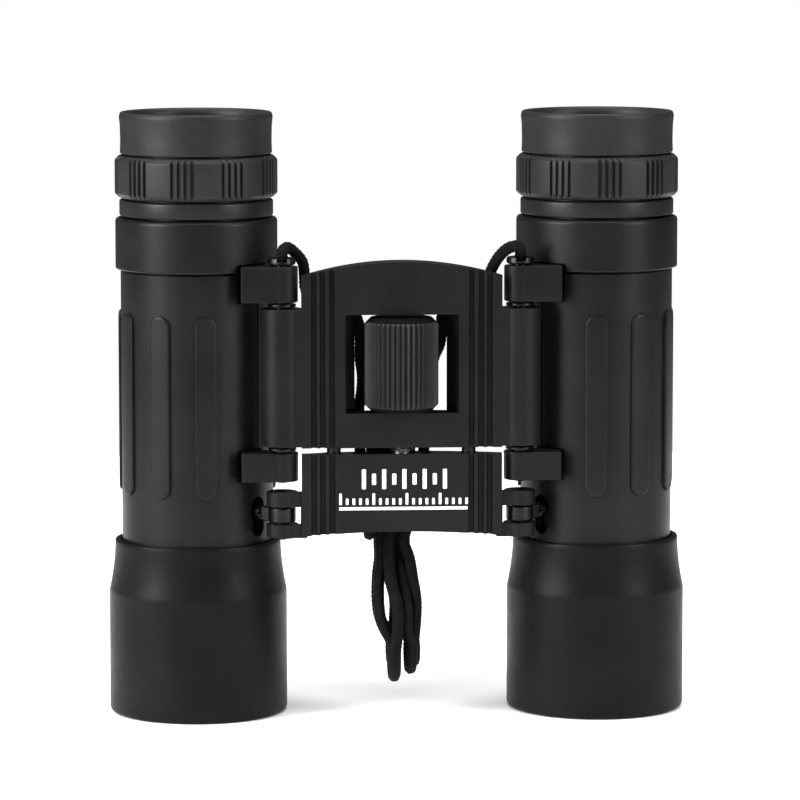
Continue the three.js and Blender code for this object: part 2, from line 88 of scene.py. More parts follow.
def barrel_place(side):
    """The barrel's own frame: on its optical axis, with +X towards the hinge."""
    hand = HANDS[side]
    turn = math.atan2(HINGE.y - AXIS.y, hand * (HINGE.x - AXIS.x))
    place = Matrix.Translation((hand * AXIS.x * MM, AXIS.y * MM, 0))
    return place @ Matrix.Rotation(turn, 4, "Z"), turn


def from_hinge(outward, forward, hand):
    """A point outwards and forwards from the hinge axis, in the barrel's own frame."""
    along = outward * math.cos(LEAN) - forward * math.sin(LEAN)
    across = outward * math.sin(LEAN) + forward * math.cos(LEAN)
    return (REACH - along, hand * across)


def standing(x, y):
    return Matrix.Translation((x * MM, y * MM, 0))


# ---- Outlines ----
def arc(cx, cy, radius, start, end, steps):
    angles = [math.radians(start + (end - start) * i / steps) for i in range(steps + 1)]
    return [(cx + radius * math.cos(a), cy + radius * math.sin(a)) for a in angles]


def rounded(outline, steps=4):
    """A closed outline of (u, v) or (u, v, radius) corners, with the corners that have a radius rounded."""
    points = []
    for i, corner in enumerate(outline):
        here = Vector(corner[:2])
        radius = corner[2] if len(corner) > 2 else 0
        if not radius:
            points.append(tuple(here))
            continue
        before = Vector(outline[i - 1][:2]) - here
        after = Vector(outline[(i + 1) % len(outline)][:2]) - here
        reach = min(radius, before.length * 0.48, after.length * 0.48)
        a, b = here + before.normalized() * reach, here + after.normalized() * reach
        for k in range(steps + 1):
            t = k / steps
            points.append(tuple(a * (1 - t) ** 2 + here * 2 * t * (1 - t) + b * t**2))
    return points


# ---- Meshes ----
def make(name, points, faces, place=Matrix(), crease=35):
    """An object from points in millimetres, shaded smooth except across sharp edges."""
    mesh = bpy.data.meshes.new(name)
    mesh.from_pydata([Vector(p) * MM for p in points], [], faces)
    finish_mesh(mesh, crease)
    piece = bpy.data.objects.new(name, mesh)
    bpy.context.scene.collection.objects.link(piece)
    piece.matrix_world = place
    return piece


def finish_mesh(mesh, crease):
    shape = bmesh.new()
    shape.from_mesh(mesh)
    bmesh.ops.remove_doubles(shape, verts=shape.verts, dist=1e-7)
    bmesh.ops.recalc_face_normals(shape, faces=shape.faces)
    shape.to_mesh(mesh)
    shape.free()
    mesh.shade_smooth()
    mesh.set_sharp_from_angle(angle=math.radians(crease))


def turned(name, outline, place=Matrix(), sides=144, angles=None, shaped=None, crease=35):
    """A closed outline of (radius, z) points turned about Z. shaped(radius, z, angle) may change a radius."""
    angles = angles or [math.tau * i / sides for i in range(sides)]
    points, count = [], len(outline)
    for angle in angles:
        for radius, z in outline:
            r = shaped(radius, z, angle) if shaped else radius
            points.append((r * math.cos(angle), r * math.sin(angle), z))
    faces = []
    for i in range(len(angles)):
        a, b = i * count, (i + 1) % len(angles) * count
        for j in range(count):
            k = (j + 1) % count
            faces.append((a + j, b + j, b + k, a + k))
    faces = [f for f in faces if any(outline[v % count][0] > 1e-6 for v in f)]
    return make(name, points, faces, place, crease)


def raised(name, outline, low, high, place=Matrix()):
    """An outline in plan, from one height to another."""
    count = len(outline)
    points = [(x, y, z) for z in (low, high) for x, y in outline]
    walls = [(i, (i + 1) % count, count + (i + 1) % count, count + i) for i in range(count)]
    caps = [tuple(range(count))[::-1], tuple(range(count, 2 * count))]
    return make(name, points, walls + caps, place)


def upright(name, outline, front, back):
    """An outline in X and Z, from front to back."""
    turn = Matrix.Rotation(math.pi / 2, 4, "X")
    piece = raised(name, outline, -back, -front)
    piece.data.transform(turn)
    return piece


def block(name, x, y, z):
    return raised(name, [(x[0], y[0]), (x[1], y[0]), (x[1], y[1]), (x[0], y[1])], *z)


def pin(name, radius, low, high, x=0, y=0, sides=48):
    piece = raised(name, arc(0, 0, radius, 0, 360, sides)[:-1], low, high)
    piece.data.transform(Matrix.Translation((x * MM, y * MM, 0)))
    return piece


def combine(base, operation, others):
    """Joins, cuts or keeps the common part, and removes the other pieces."""
    for other in others:
        change = base.modifiers.new("change", "BOOLEAN")
        change.operation, change.object, change.solver = operation, other, "EXACT"
    bpy.context.view_layer.update()
    whole = bpy.data.meshes.new_from_object(base.evaluated_get(bpy.context.evaluated_depsgraph_get()))
    base.modifiers.clear()
    base.data = whole
    for other in others:
        bpy.data.objects.remove(other)
    return base


def rod(name, radius, low, high, x=0, y=0, edge=0.2):
    """A round bar with softened ends."""
    cut = edge * 0.3
    outline = [(0, low), (radius - edge, low), (radius - cut, low + cut), (radius, low + edge),
               (radius, high - edge), (radius - cut, high - cut), (radius - edge, high), (0, high)]
    piece = turned(name, outline, sides=72)
    piece.data.transform(Matrix.Translation((x * MM, y * MM, 0)))
    return piece


def softened(piece, width, segments=3, angle=32):
    """Small rounded edges, with flat faces kept flat in the shading."""
    piece.data.shade_smooth()
    bevel = piece.modifiers.new("edges", "BEVEL")
    bevel.width, bevel.segments, bevel.limit_method = width * MM, segments, "ANGLE"
    bevel.angle_limit = math.radians(angle)
    bevel.miter_outer = "MITER_ARC"
    piece.modifiers.new("shading", "WEIGHTED_NORMAL").keep_sharp = True
    return piece


def creased(piece, angle=35):
    """Shades a cut piece smooth except across sharp edges."""
    piece.data.shade_smooth()
    piece.data.set_sharp_from_angle(angle=math.radians(angle))
    piece.modifiers.new("shading", "WEIGHTED_NORMAL").keep_sharp = True
    return piece


def joined(name, pieces, crease=35):
    """One object from several, with their edges already softened."""
    whole = bmesh.new()
    for piece in pieces:
        for modifier in [m for m in piece.modifiers if m.type == "WEIGHTED_NORMAL"]:
            piece.modifiers.remove(modifier)
    bpy.context.view_layer.update()
    graph = bpy.context.evaluated_depsgraph_get()
    for piece in pieces:
        whole.from_mesh(bpy.data.meshes.new_from_object(piece.evaluated_get(graph)))
    mesh = bpy.data.meshes.new(name)
    whole.to_mesh(mesh)
    whole.free()
    for piece in pieces:
        bpy.data.objects.remove(piece)
    made = bpy.data.objects.new(name, mesh)
    bpy.context.scene.collection.objects.link(made)
    return creased(made, crease)


def placed(piece, material, slot, *nodes, place=None):
    """Puts a piece on the body of the CAD nodes that it stands for."""
    if place is not None:
        piece.data = piece.data.copy()
        piece.data.transform(place)
    piece.data.materials.clear()
    piece.data.materials.append(material)
    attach(piece, BODY[nodes[0]])
    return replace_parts(piece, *nodes)


# ---- Materials ----
class Shader:
    """A material's node tree, with a Principled shader whose constants are set on its own sockets."""

    def __init__(self, name, **constants):
        self.material = bpy.data.materials.new(name)
        self.material.use_nodes = True
        self.tree = self.material.node_tree
        self.surface = self.tree.nodes["Principled BSDF"]
        for socket, value in constants.items():
            self.surface.inputs[socket.replace("_", " ")].default_value = value
        self.place = self.node("ShaderNodeTexCoord").outputs["Object"]

    def node(self, kind, **settings):
        made = self.tree.nodes.new(kind)
        for name, value in settings.items():
            setattr(made, name, value)
        return made

    def link(self, output, node, socket):
        self.tree.links.new(output, node.inputs[socket])

    def stretched(self, scale):
        mapping = self.node("ShaderNodeMapping")
        mapping.inputs["Scale"].default_value = scale
        self.link(self.place, mapping, "Vector")
        return mapping.outputs["Vector"]

    def noise(self, scale, detail=3, roughness=0.5, place=None):
        noise = self.node("ShaderNodeTexNoise")
        noise.inputs["Scale"].default_value = scale
        noise.inputs["Detail"].default_value = detail
        noise.inputs["Roughness"].default_value = roughness
        self.link(place or self.place, noise, "Vector")
        return noise.outputs["Fac"]

    def ramp(self, value, low, high, start=0.35, end=0.65):
        ramp = self.node("ShaderNodeValToRGB")
        ramp.color_ramp.elements[0].position, ramp.color_ramp.elements[1].position = start, end
        ramp.color_ramp.elements[0].color = (*low, 1)
        ramp.color_ramp.elements[1].color = (*high, 1)
        self.link(value, ramp, "Fac")
        return ramp.outputs["Color"]

    def spread(self, value, low, high, start=0.3, end=0.7):
        spread = self.node("ShaderNodeMapRange")
        for socket, number in zip(("From Min", "From Max", "To Min", "To Max"), (start, end, low, high)):
            spread.inputs[socket].default_value = number
        self.link(value, spread, "Value")
        return spread.outputs["Result"]

    def colour(self, output):
        self.link(output, self.surface, "Base Color")

    def roughness(self, output):
        self.link(output, self.surface, "Roughness")

    def bumps(self, *layers):
        """Each layer is a height and the depth in millimetres that it reaches."""
        below = None
        for height, depth in layers:
            bump = self.node("ShaderNodeBump")
            bump.inputs["Distance"].default_value = depth * MM
            self.link(height, bump, "Height")
            if below:
                self.link(below, bump, "Normal")
            below = bump.outputs["Normal"]
        self.link(below, self.surface, "Normal")


def grey(level, warmth=0.0):
    return (level * (1 + warmth), level, level * (1 - warmth))


def coated(name, dark, light, rough, grain, depth, warmth=0.0, **constants):
    """A black finish with a fine grain, faint blotches and an uneven gloss."""
    shader = Shader(name, **constants)
    blotch, fine = shader.noise(90, 4), shader.noise(grain, 2)
    shader.colour(shader.ramp(blotch, grey(dark, warmth), grey(light, warmth)))
    shader.roughness(shader.spread(shader.noise(260, 5, 0.6), *rough))
    shader.bumps((shader.noise(grain / 5, 2), depth * 0.8), (fine, depth))
    return shader.material


def brushed_steel(name, dark, light, rough):
    shader = Shader(name, Metallic=1.0)
    streaks = shader.noise(900, 3, place=shader.stretched((1, 1, 14)))
    shader.colour(shader.ramp(streaks, grey(dark), grey(light)))
    shader.roughness(shader.spread(streaks, *rough))
    shader.bumps((streaks, 0.01))
    return shader.material


def braided_nylon():
    shader = Shader("braided_nylon", Sheen_Weight=0.015, Sheen_Roughness=0.45, Specular_IOR_Level=0.09)
    threads = shader.noise(5200, 2, place=shader.stretched((1, 1, 2.5)))
    shader.colour(shader.ramp(shader.noise(700, 4), grey(0.0015, 0.05), grey(0.004, 0.05)))
    shader.roughness(shader.spread(threads, 0.62, 0.85))
    shader.bumps((threads, 0.12))
    return shader.material


def coated_glass(name, tint, rim):
    """Lens glass whose coating shows its colour at a slant."""
    shader = Shader(name, Transmission_Weight=1.0, IOR=1.5, Roughness=0.02)
    slant = shader.node("ShaderNodeLayerWeight")
    slant.inputs["Blend"].default_value = 0.35
    shader.colour(shader.ramp(slant.outputs["Facing"], tint, rim, 0.1, 0.8))
    shader.roughness(shader.spread(shader.noise(150, 2), 0.01, 0.04))
    return shader.material


def printed_white():
    shader = Shader("printed_white")
    wear = shader.noise(1500, 4)
    shader.colour(shader.ramp(wear, grey(0.62, 0.02), grey(0.82, 0.01), 0.25, 0.5))
    shader.roughness(shader.spread(wear, 0.35, 0.5))
    shader.bumps((wear, 0.01))
    return shader.material


ARMOUR = coated("moulded_armour", 0.0045, 0.007, (0.33, 0.42), 5200, 0.012, 0.03, Specular_IOR_Level=0.17)
RUBBER = coated("soft_rubber", 0.012, 0.016, (0.4, 0.5), 4200, 0.03, 0.02, Specular_IOR_Level=0.22)
PAINT = coated("satin_paint", 0.006, 0.0085, (0.32, 0.42), 3600, 0.008, Specular_IOR_Level=0.13)
# Painted shade: a darker, less glossy copy of the armour for the bell, countering the floor's bounce light on it
HOOD_PAINTED_SHADE = coated("moulded_hood_painted_shade", 0.0035, 0.0055, (0.36, 0.46), 5200, 0.012, 0.03, Specular_IOR_Level=0.09)
# Matt black for the prism cage and the lens retainer; the same material is also laid on the window's walls and the
# wheel's chamfers as painted shade
BAFFLE_AND_SHADE = coated("matt_baffle_and_painted_shade", 0.002, 0.003, (0.7, 0.85), 5200, 0.03, Specular_IOR_Level=0.05)
ANODISED = coated("black_anodised", 0.009, 0.013, (0.32, 0.42), 6000, 0.008, Specular_IOR_Level=0.2)
STEEL = brushed_steel("turned_steel", 0.2, 0.34, (0.28, 0.42))
BLACK_STEEL = brushed_steel("blackened_steel", 0.018, 0.035, (0.3, 0.42))
NYLON = braided_nylon()
LENS = coated_glass("lens_coating", (0.62, 0.8, 0.78), (0.75, 0.45, 0.8))
PRISM = coated_glass("prism_glass", (0.86, 0.93, 0.9), (0.8, 0.9, 0.95))
WHITE = printed_white()


# ---- Camera ----
def camera():
    """A long lens above the eyepieces and a little to the left, aimed through the focus wheel."""
    distance, height = 0.7777, 0.151
    pitch, yaw = math.radians(6.853), math.radians(3.5)
    data = bpy.data.cameras.new("camera")
    data.lens, data.sensor_width = 198.5, 36
    eye = bpy.data.objects.new("camera", data)
    bpy.context.scene.collection.objects.link(eye)
    eye.location = (-0.00023 - distance * math.sin(yaw), -0.0109 - distance * math.cos(yaw), height)
    eye.rotation_euler = (math.pi / 2 - pitch, 0, -yaw)
    bpy.context.scene.camera = eye


# ---- Cord ----
CORD_RADIUS = 0.001
# The two leads in millimetres, from the hinge posts down to the tie
LEFT_LEAD = [
    (-21.15, -10.4, 82.5), (-21.1, -10.35, 83.6), (-20.9, -9.9, 84.2), (-20.3, -9, 84.6), (-19.6, -8.3, 84.4),
    (-18.9, -7.9, 83.8), (-18.1, -7.6, 83), (-17.4, -7.4, 82), (-17.1, -7.35, 80.7), (-17, -7.3, 79),
    (-16.8, -7.2, 77), (-15.7, -7.1, 75.5), (-13.4, -7, 75), (-10.8, -6.9, 74.5), (-8.5, -6.8, 73.3),
    (-7.4, -6.8, 71), (-7.1, -6.8, 68), (-7.1, -6.7, 64.5), (-6.7, -6.2, 61.4), (-6.8, -5.8, 58.6),
    (-7.2, -5.4, 56), (-7.4, -5.2, 53), (-7.2, -5.5, 49), (-6.6, -6.2, 45.6), (-5.5, -6.7, 43),
]
RIGHT_LEAD = [
    (21.15, -10.4, 82.6), (21.2, -10.8, 83.75), (21, -11.4, 84.5), (20.3, -11.8, 84.9), (19.3, -11.6, 84.7),
    (18.3, -11, 84), (17.3, -10.3, 82.8), (16.5, -9.7, 81.4), (16, -9.3, 80.2), (15.5, -9, 78.6),
    (14.2, -8.4, 76.7), (12, -7.7, 75.5), (9.8, -7.2, 74.8), (8.2, -6.9, 73.6), (7.5, -6.8, 71.8),
    (7.4, -6.8, 69.2), (7.1, -6.5, 67), (6.3, -5.7, 65), (5.7, -4.9, 62.5), (5.4, -4.3, 59.5),
    (5.2, -4, 56), (4.9, -3.7, 52.5), (4.8, -3.3, 49.5), (4.3, -2.8, 46.5), (3.4, -2.4, 43.5),
]
# The hank's loops in millimetres: X at the tie, Y of the front and back runs there and at the end fold,
# the places (Z, X) that both runs pass on the way down, and the Z of the end
LOOPS = [
    {"neck": -4.3, "rows": (-6.9, -3.4), "fold": (-7.0, -2.8), "low": 31.6, "way": []},
    {"neck": -2.65, "rows": (-5.3, -1.9), "fold": (-11.7, -5.6), "low": 9.4,
     "way": [(31.5, -3.45), (28, -3.4), (25, -3.8), (20.5, -3.95), (17.5, -3.5), (14.6, -2.0)]},
    {"neck": -1.0, "rows": (-6.9, -3.4), "fold": (-14.0, -3.4), "low": 6.5,
     "way": [(31.5, -2.0), (28, -2.0), (25, -1.8), (20.5, -0.75), (16, -0.85)]},
    {"neck": 0.65, "rows": (-5.3, -1.9), "fold": (-13.0, -3.6), "low": 7.8,
     "way": [(31.5, -0.5), (28, 0.0), (24.5, 0.45), (20, 1.0), (16, 1.0)]},
    {"neck": 2.3, "rows": (-6.9, -3.4), "fold": (-11.0, -5.6), "low": 9.2,
     "way": [(31.5, 0.8), (28.5, 1.7), (25, 2.25), (21.5, 2.75), (18, 2.65), (14.5, 2.3)]},
]
END_X = [-5.4, -1.55, -1.2, 1.75, 2.4]
TOP_FOLD = {"x": (-4.9, -2.7, -0.5, 1.7), "y": (-0.1, -7.0), "z": 52.4}
BELLY = (31.5, 14.5)  # the heights between which the runs swing out from the tie to the end fold


def mixed(a, b, share):
    return a + (b - a) * share


def half_turn(x, start, end, height, up, steps=6):
    """Points round a fold in a plane across X, from one Y to another."""
    radius, side = abs(end - start) / 2, 1 if up else -1
    centre = height - side * radius
    turns = [math.pi * i / steps for i in range(steps + 1)]
    return [
        (x, (start + end) / 2 + (start - end) / 2 * math.cos(t), centre + side * radius * math.sin(t))
        for t in turns
    ]


def run(loop, row):
    """One run from the tie down to the end fold, at the front (row 0) or the back (row 1)."""
    points = [(loop["neck"], loop["rows"][row], 41), (loop["neck"], loop["rows"][row], 38)]
    for z, x in loop["way"]:
        swing = min(max((BELLY[0] - z) / (BELLY[0] - BELLY[1]), 0), 1)
        points.append((x, mixed(loop["rows"][row], loop["fold"][row], swing * swing * (3 - 2 * swing)), z))
    return points


def hank_points():
    points = []
    for i, loop in enumerate(LOOPS):
        points += run(loop, 0)
        points += half_turn(END_X[i], *loop["fold"], loop["low"] + CORD_RADIUS / MM, up=False)
        points += run(loop, 1)[::-1]
        if i + 1 < len(LOOPS):
            points += half_turn(TOP_FOLD["x"][i], *TOP_FOLD["y"], TOP_FOLD["z"], up=True)
    return points


def smooth_route(points, step):
    """Points evenly along a Catmull-Rom curve through the given ones."""
    fine = []
    ends = [points[0] * 2 - points[1], *points, points[-1] * 2 - points[-2]]
    for a, b, c, d in zip(ends, ends[1:], ends[2:], ends[3:]):
        knots = [0.0]
        for p, q in ((a, b), (b, c), (c, d)):
            knots.append(knots[-1] + max((q - p).length, 1e-6) ** 0.5)
        for k in range(12):
            t = mixed(knots[1], knots[2], k / 12)
            fine.append(through(a, b, c, d, knots, t))
    fine.append(points[-1])
    route, gone = [fine[0]], 0.0
    for p, q in zip(fine, fine[1:]):
        gone += (q - p).length
        if gone >= step:
            route.append(q)
            gone = 0.0
    return route


def through(a, b, c, d, knots, t):
    """The centripetal curve between b and c at t."""
    def blend(p, q, i, j):
        return p * ((knots[j] - t) / (knots[j] - knots[i])) + q * ((t - knots[i]) / (knots[j] - knots[i]))
    ab, bc, cd = blend(a, b, 0, 1), blend(b, c, 1, 2), blend(c, d, 2, 3)
    return blend(blend(ab, bc, 0, 2), blend(bc, cd, 1, 3), 1, 2)


def braid_height(along, angle):
    """Crossing strands that pass over and under each other, as a share of the cord's radius."""
    lay_length, strands, relief = 0.0015, 3, 0.1
    lay = along / lay_length * math.tau
    over = math.cos(strands * angle + lay) * math.cos(strands * angle - lay)
    return 1 + relief * over


def braided_tube(name, route, sides=24):
    points, along = [], 0.0
    normal = Vector((1, 0, 0))
    for i, here in enumerate(route):
        ahead = (route[min(i + 1, len(route) - 1)] - route[max(i - 1, 0)]).normalized()
        normal = (normal - ahead * normal.dot(ahead)).normalized()
        across = ahead.cross(normal)
        along += (here - route[i - 1]).length if i else 0
        for k in range(sides):
            angle = math.tau * k / sides
            radius = CORD_RADIUS * braid_height(along, angle)
            points.append((here + (normal * math.cos(angle) + across * math.sin(angle)) * radius) / MM)
    faces = [
        (i * sides + k, i * sides + (k + 1) % sides, (i + 1) * sides + (k + 1) % sides, (i + 1) * sides + k)
        for i in range(len(route) - 1) for k in range(sides)
    ]
    last = (len(route) - 1) * sides
    faces += [tuple(range(sides))[::-1], tuple(range(last, last + sides))]
    return make(name, points, faces, crease=60)


def neck_cord():
    points = [Vector(p) * MM for p in (*LEFT_LEAD, *hank_points(), *reversed(RIGHT_LEAD))]
    route = smooth_route(points, 0.00015)
    cord = placed(braided_tube("neck_cord", route), NYLON, "cord",
                  "cord_lead_left", "cord_lead_right", "cord_hank")
    tie = hank_tie()


def hank_tie():
    """A flat elastic band round the middle of the hank, with two shallow grooves."""
    low, high = corners("cord_tie")
    square = ((low.x, low.y), (high.x, low.y), (high.x, high.y), (low.x, high.y))
    flat = rounded([(x, y, 2.2) for x, y in square], 8)
    centre = (low + high) / 2
    rise = [0, 0.08, 0.25, 0.36, 0.42, 0.58, 0.64, 0.75, 0.92, 1]
    proud = [0.5, 0.9, 1, 1, 0.55, 0.55, 1, 1, 0.9, 0.5]
    thick = 0.4
    points = []
    for x, y in flat:
        out = Vector((x - centre.x, y - centre.y, 0)).normalized()
        outer = [
            Vector((x, y, mixed(low.z, high.z, r))) - out * thick * (1 - p) for r, p in zip(rise, proud)
        ]
        inner = [Vector((x, y, z)) - out * thick for z in (high.z, low.z)]
        points += outer + inner
    count, around = len(rise) + 2, len(flat)
    faces = [
        (i * count + j, (i + 1) % around * count + j,
         (i + 1) % around * count + (j + 1) % count, i * count + (j + 1) % count)
        for i in range(around) for j in range(count)
    ]
    return placed(make("hank_tie", points, faces), RUBBER, "tie", "cord_tie")

# ---- Barrel pieces, each made once in the barrel's own frame and placed on both sides ----
def both(shape, material, slot, *nodes):
    for side in HANDS:
        piece = shape.copy()
        piece.name = f"{side}_{shape.name}"
        bpy.context.scene.collection.objects.link(piece)
        placed(piece, material, slot, *[f"{side}_{n}" for n in nodes], place=barrel_place(side)[0])
    bpy.data.objects.remove(shape)


def bell():
    """The objective end: a straight skirt, then a cove up to a thin lip over the armour."""
    low, high = heights("left_bell")
    radius, lip, bore, seat, crease = 16, 14.9, 14.6, 30, 22
    shares = [t / 14 for t in range(15)]
    cove = [(lip + (radius - lip) * (1 - t) ** 1.8, crease + (high - 0.3 - crease) * t) for t in shares]
    outline = [(bore, low + 0.45), (bore + 0.35, low)]
    outline += arc(radius - 1, low + 1, 1, -90, 0, 6)
    outline += [(radius, crease - 0.7), (radius - 0.015, crease - 0.25)] + cove
    outline += [(lip - 0.08, high - 0.08), (lip - 0.25, high), (13.95, high), (13.9, high - 0.06)]
    outline += [(13.9, seat), (13.1, seat), (13.1, 25.4), (bore, 25.4)]
    # The bell takes the darker armour copy as painted shade
    both(turned("objective_bell", outline, sides=192), HOOD_PAINTED_SHADE, "armour", "bell")


def pad(angle, low, high, half, base, outer, rows=7, columns=6):
    """A long raised pad with round ends, lying on the armour's curve."""
    def loop(inset):
        h = half - inset
        turns = [math.radians(-90 + 90 * i / (rows - 1)) for i in range(rows)]
        bottom = [(h * math.cos(t), low + half + h * math.sin(t)) for t in turns]
        top = [(h * math.cos(t), high - half - h * math.sin(t)) for t in turns]
        return bottom + top[::-1]

    def on_armour(u, z, r):
        turn = math.radians(angle) + u / base
        return (r * math.cos(turn), r * math.sin(turn), z)

    points, rings = [], []
    steps = ((0, base - 0.25), (0, outer - 0.22), (0.07, outer - 0.08), (0.22, outer - 0.01), (0.4, outer))
    for inset, r in steps:
        sides = loop(inset)
        ring = [(u, z) for u, z in sides] + [(-u, z) for u, z in sides[::-1]]
        rings.append(range(len(points), len(points) + len(ring)))
        points += [on_armour(u, z, r) for u, z in ring]
    faces = [tuple(rings[0])[::-1]]
    for a, b in zip(rings, rings[1:]):
        faces += [(a[i], a[(i + 1) % len(a)], b[(i + 1) % len(b)], b[i]) for i in range(len(a))]
    grid = len(points)
    inner = loop(0.4)
    points += [on_armour(u * (2 * c / columns - 1), z, outer) for u, z in inner for c in range(columns + 1)]
    for i in range(len(inner) - 1):
        for c in range(columns):
            a = grid + i * (columns + 1) + c
            faces.append((a, a + 1, a + columns + 2, a + columns + 1))
    return make("pad", points, faces)


LUG = {"eye": 2.85, "front": 2.68, "rear": 0.8, "end": 7.25, "back": -2.0, "start": 71.5, "finish": -163.7,
       "room": 0.8}
UPPER_LUG, LOWER_LUG = (75.1, 81.45), (43.2, 48.3)
TUBE_WALL = (11.9, 12.8)
LUG_GAP = 0.3


def lug(low, high, hand):
    """A flat front, a round eye on the hinge and a back edge along the line to the optical axis."""
    wall, rear = sum(TUBE_WALL) / 2, LUG["rear"]
    outline = [from_hinge(LUG["end"], LUG["front"], hand)]
    outline += [(x, hand * y) for x, y in arc(REACH, 0, LUG["eye"], LUG["start"], LUG["finish"], 50)]
    outline += [(math.sqrt(wall**2 - rear**2), -hand * rear), from_hinge(LUG["end"], LUG["back"], hand)]
    arm = softened(raised("lug", outline, low, high), 0.4, 8)
    return combine(arm, "DIFFERENCE", [pin("bore", 1.5, low - 1, high + 1, REACH)])


def lug_room(low, high, hand):
    """The clearance round a lug in the armour."""
    side, beyond, end = LUG["rear"] + LUG_GAP, LUG["front"] + 2, LUG["end"] + LUG["room"]
    outline = [from_hinge(end, beyond, hand), from_hinge(0, beyond, hand), (15.5, -hand * side),
               (TUBE_WALL[0], -hand * side), from_hinge(end, LUG["back"] - LUG_GAP, hand)]
    return raised("room", outline, low - LUG_GAP, high + LUG_GAP)


def focus_slot():
    """The round-ended slot that the focus stud travels in."""
    half, low, high = 1.75, 32.7, 39.9
    outline = arc(0, low + half, half, 180, 360, 16) + arc(0, high - half, half, 0, 180, 16)
    slot = upright("slot", outline, -16, -10)
    slot.data.transform(Matrix.Rotation(math.pi / 2, 4, "Z"))
    return slot


def on_barrel(piece, side, material, slot, node):
    piece.name = f"{side}_{piece.name}"
    placed(piece, material, slot, f"{side}_{node}", place=barrel_place(side)[0])


def cover(side):
    hand = HANDS[side]
    low, high = heights(f"{side}_cover")
    inner, outer, proud = 13.1, 13.6, 14.1
    tube = turned("armour_cover", [(inner, low), (outer - 0.12, low), (outer, low + 0.12), (outer, high - 0.12),
                                   (outer - 0.12, high), (inner, high)], sides=180)
    pads = [pad(way * a, 40, 72.6, 1.925, outer, proud) for a in (46, 81, 116, 151) for way in (-1, 1)]
    combine(tube, "UNION", pads)
    seam = block("seam", (12, 16), (-0.15, 0.15), (LOWER_LUG[1], UPPER_LUG[0]))
    rooms = [lug_room(*UPPER_LUG, hand), lug_room(*LOWER_LUG, hand)]
    combine(tube, "DIFFERENCE", [*rooms, seam, focus_slot()])
    on_barrel(creased(tube), side, ARMOUR, "armour", "cover")


def chassis(side):
    low, high = heights(f"{side}_chassis")
    inner, outer = TUBE_WALL
    tube = turned("chassis_tube", [(inner, low), (outer, low), (outer, high), (inner, high)], sides=128)
    combine(tube, "DIFFERENCE", [focus_slot()])
    lugs = [lug(*UPPER_LUG, HANDS[side]), lug(*LOWER_LUG, HANDS[side])]
    on_barrel(joined("chassis_body", [tube, *lugs], 17), side, PAINT, "frame", "chassis")


def collar(side):
    low, high = heights(f"{side}_collar")
    outer = 14.5
    outline = rounded([(13.1, low), (outer, low, 0.35), (outer, high, 0.8), (12, high, 0.2), (12, 88.3),
                       (13.1, 88.3)])
    shell = turned("eyepiece_collar", outline, sides=192)
    combine(shell, "DIFFERENCE", [lug_room(*UPPER_LUG, HANDS[side])])
    on_barrel(creased(shell), side, ARMOUR, "armour", "collar")


def ocular():
    outline = rounded([
        (9.2, 82), (11.5, 82, 0.2), (11.5, 89.8), (13.75, 89.8, 0.2), (13.75, 92.6, 0.45), (11.9, 92.6),
        (11.9, 104.2, 0.5), (8.9, 104.2, 0.3), (8.6, 103.6), (8.6, 98), (7.4, 98), (7.4, 95), (9.2, 93),
    ])
    both(turned("ocular_body", outline, sides=160), ANODISED, "cell", "ocular_tube")


def eyecup():
    low, high = heights("left_eyecup")
    outline = rounded([
        (12.2, low), (13.6, low, 0.3), (13.52, low + 2.2), (13.58, high - 2.4), (13.75, high - 0.75, 0.3),
        (13.5, high, 0.45), (12.7, high, 0.35), (12.2, high - 0.8, 0.5),
    ])
    both(turned("soft_eyecup", outline, sides=160), RUBBER, "grip_rubber", "eyecup")


GRIP = {"groups": 10, "grooves": 4, "pitch": 4.75, "wide": 1.35, "narrow": 0.7, "depth": 0.55}
GRIP_FRONT = {"left": -10.8, "right": 3.3}  # where a group of grooves stands from the front, in degrees


def grip_ring(side):
    """A ring of flat lands and groups of fine vee grooves."""
    place, turn = barrel_place(side)
    low, high = heights(f"{side}_grip_ring")
    outer = 14.55
    first = -90 + GRIP_FRONT[side] - math.degrees(turn)
    spacing, reach = 360 / GRIP["groups"], (GRIP["grooves"] - 1) / 2 * GRIP["pitch"]
    depths = {}
    for group in range(GRIP["groups"]):
        centre = first + spacing * group
        for k in range(GRIP["grooves"]):
            groove = centre - reach + k * GRIP["pitch"]
            for offset, depth in ((-1, 0), (-0.5, GRIP["depth"]), (0.5, GRIP["depth"]), (1, 0)):
                depths[math.radians(groove + offset * GRIP["wide"])] = depth
        start, end = centre + reach + GRIP["wide"], centre + spacing - reach - GRIP["wide"]
        for k in range(1, 9):
            depths[math.radians(mixed(start, end, k / 9))] = 0
    outline = rounded([(12.2, low), (outer - 0.8, low, 0.3), (outer, low + 0.8, 0.3), (outer, high - 0.8, 0.3),
                       (outer - 0.8, high, 0.3), (12.2, high)])
    ring = turned(f"{side}_ribbed_ring", outline, angles=sorted(depths),
                  shaped=lambda r, z, angle: min(r, outer - depths[angle]) if r > 13 else r, crease=28)
    placed(ring, RUBBER, "grip_rubber", f"{side}_grip_ring", place=place)


def dome(radius, edge, sag, rising, steps=16):
    """The outline of a lens face, from its middle out or from its edge in."""
    shares = [i / steps for i in range(steps + 1)]
    shares = shares if rising else shares[::-1]
    return [(radius * s, edge + sag * (1 - s * s)) for s in shares]


def lens(name, radius, low, high, sag_low, sag_high, node):
    outline = dome(radius, low, -sag_low, True) + dome(radius, high, sag_high, False)
    both(turned(name, outline, sides=96), LENS, "lens_glass", node)


def optics():
    lens("front_lens", 12.75, 9.6, 14.4, 1.2, 0.6, "objective_lens")
    lens("inner_lens", 8.8, 84.5, 87.5, 0.2, 1, "field_lens")
    lens("outer_lens", 8.25, 98.6, 101.6, 0.5, 1.2, "eye_lens")


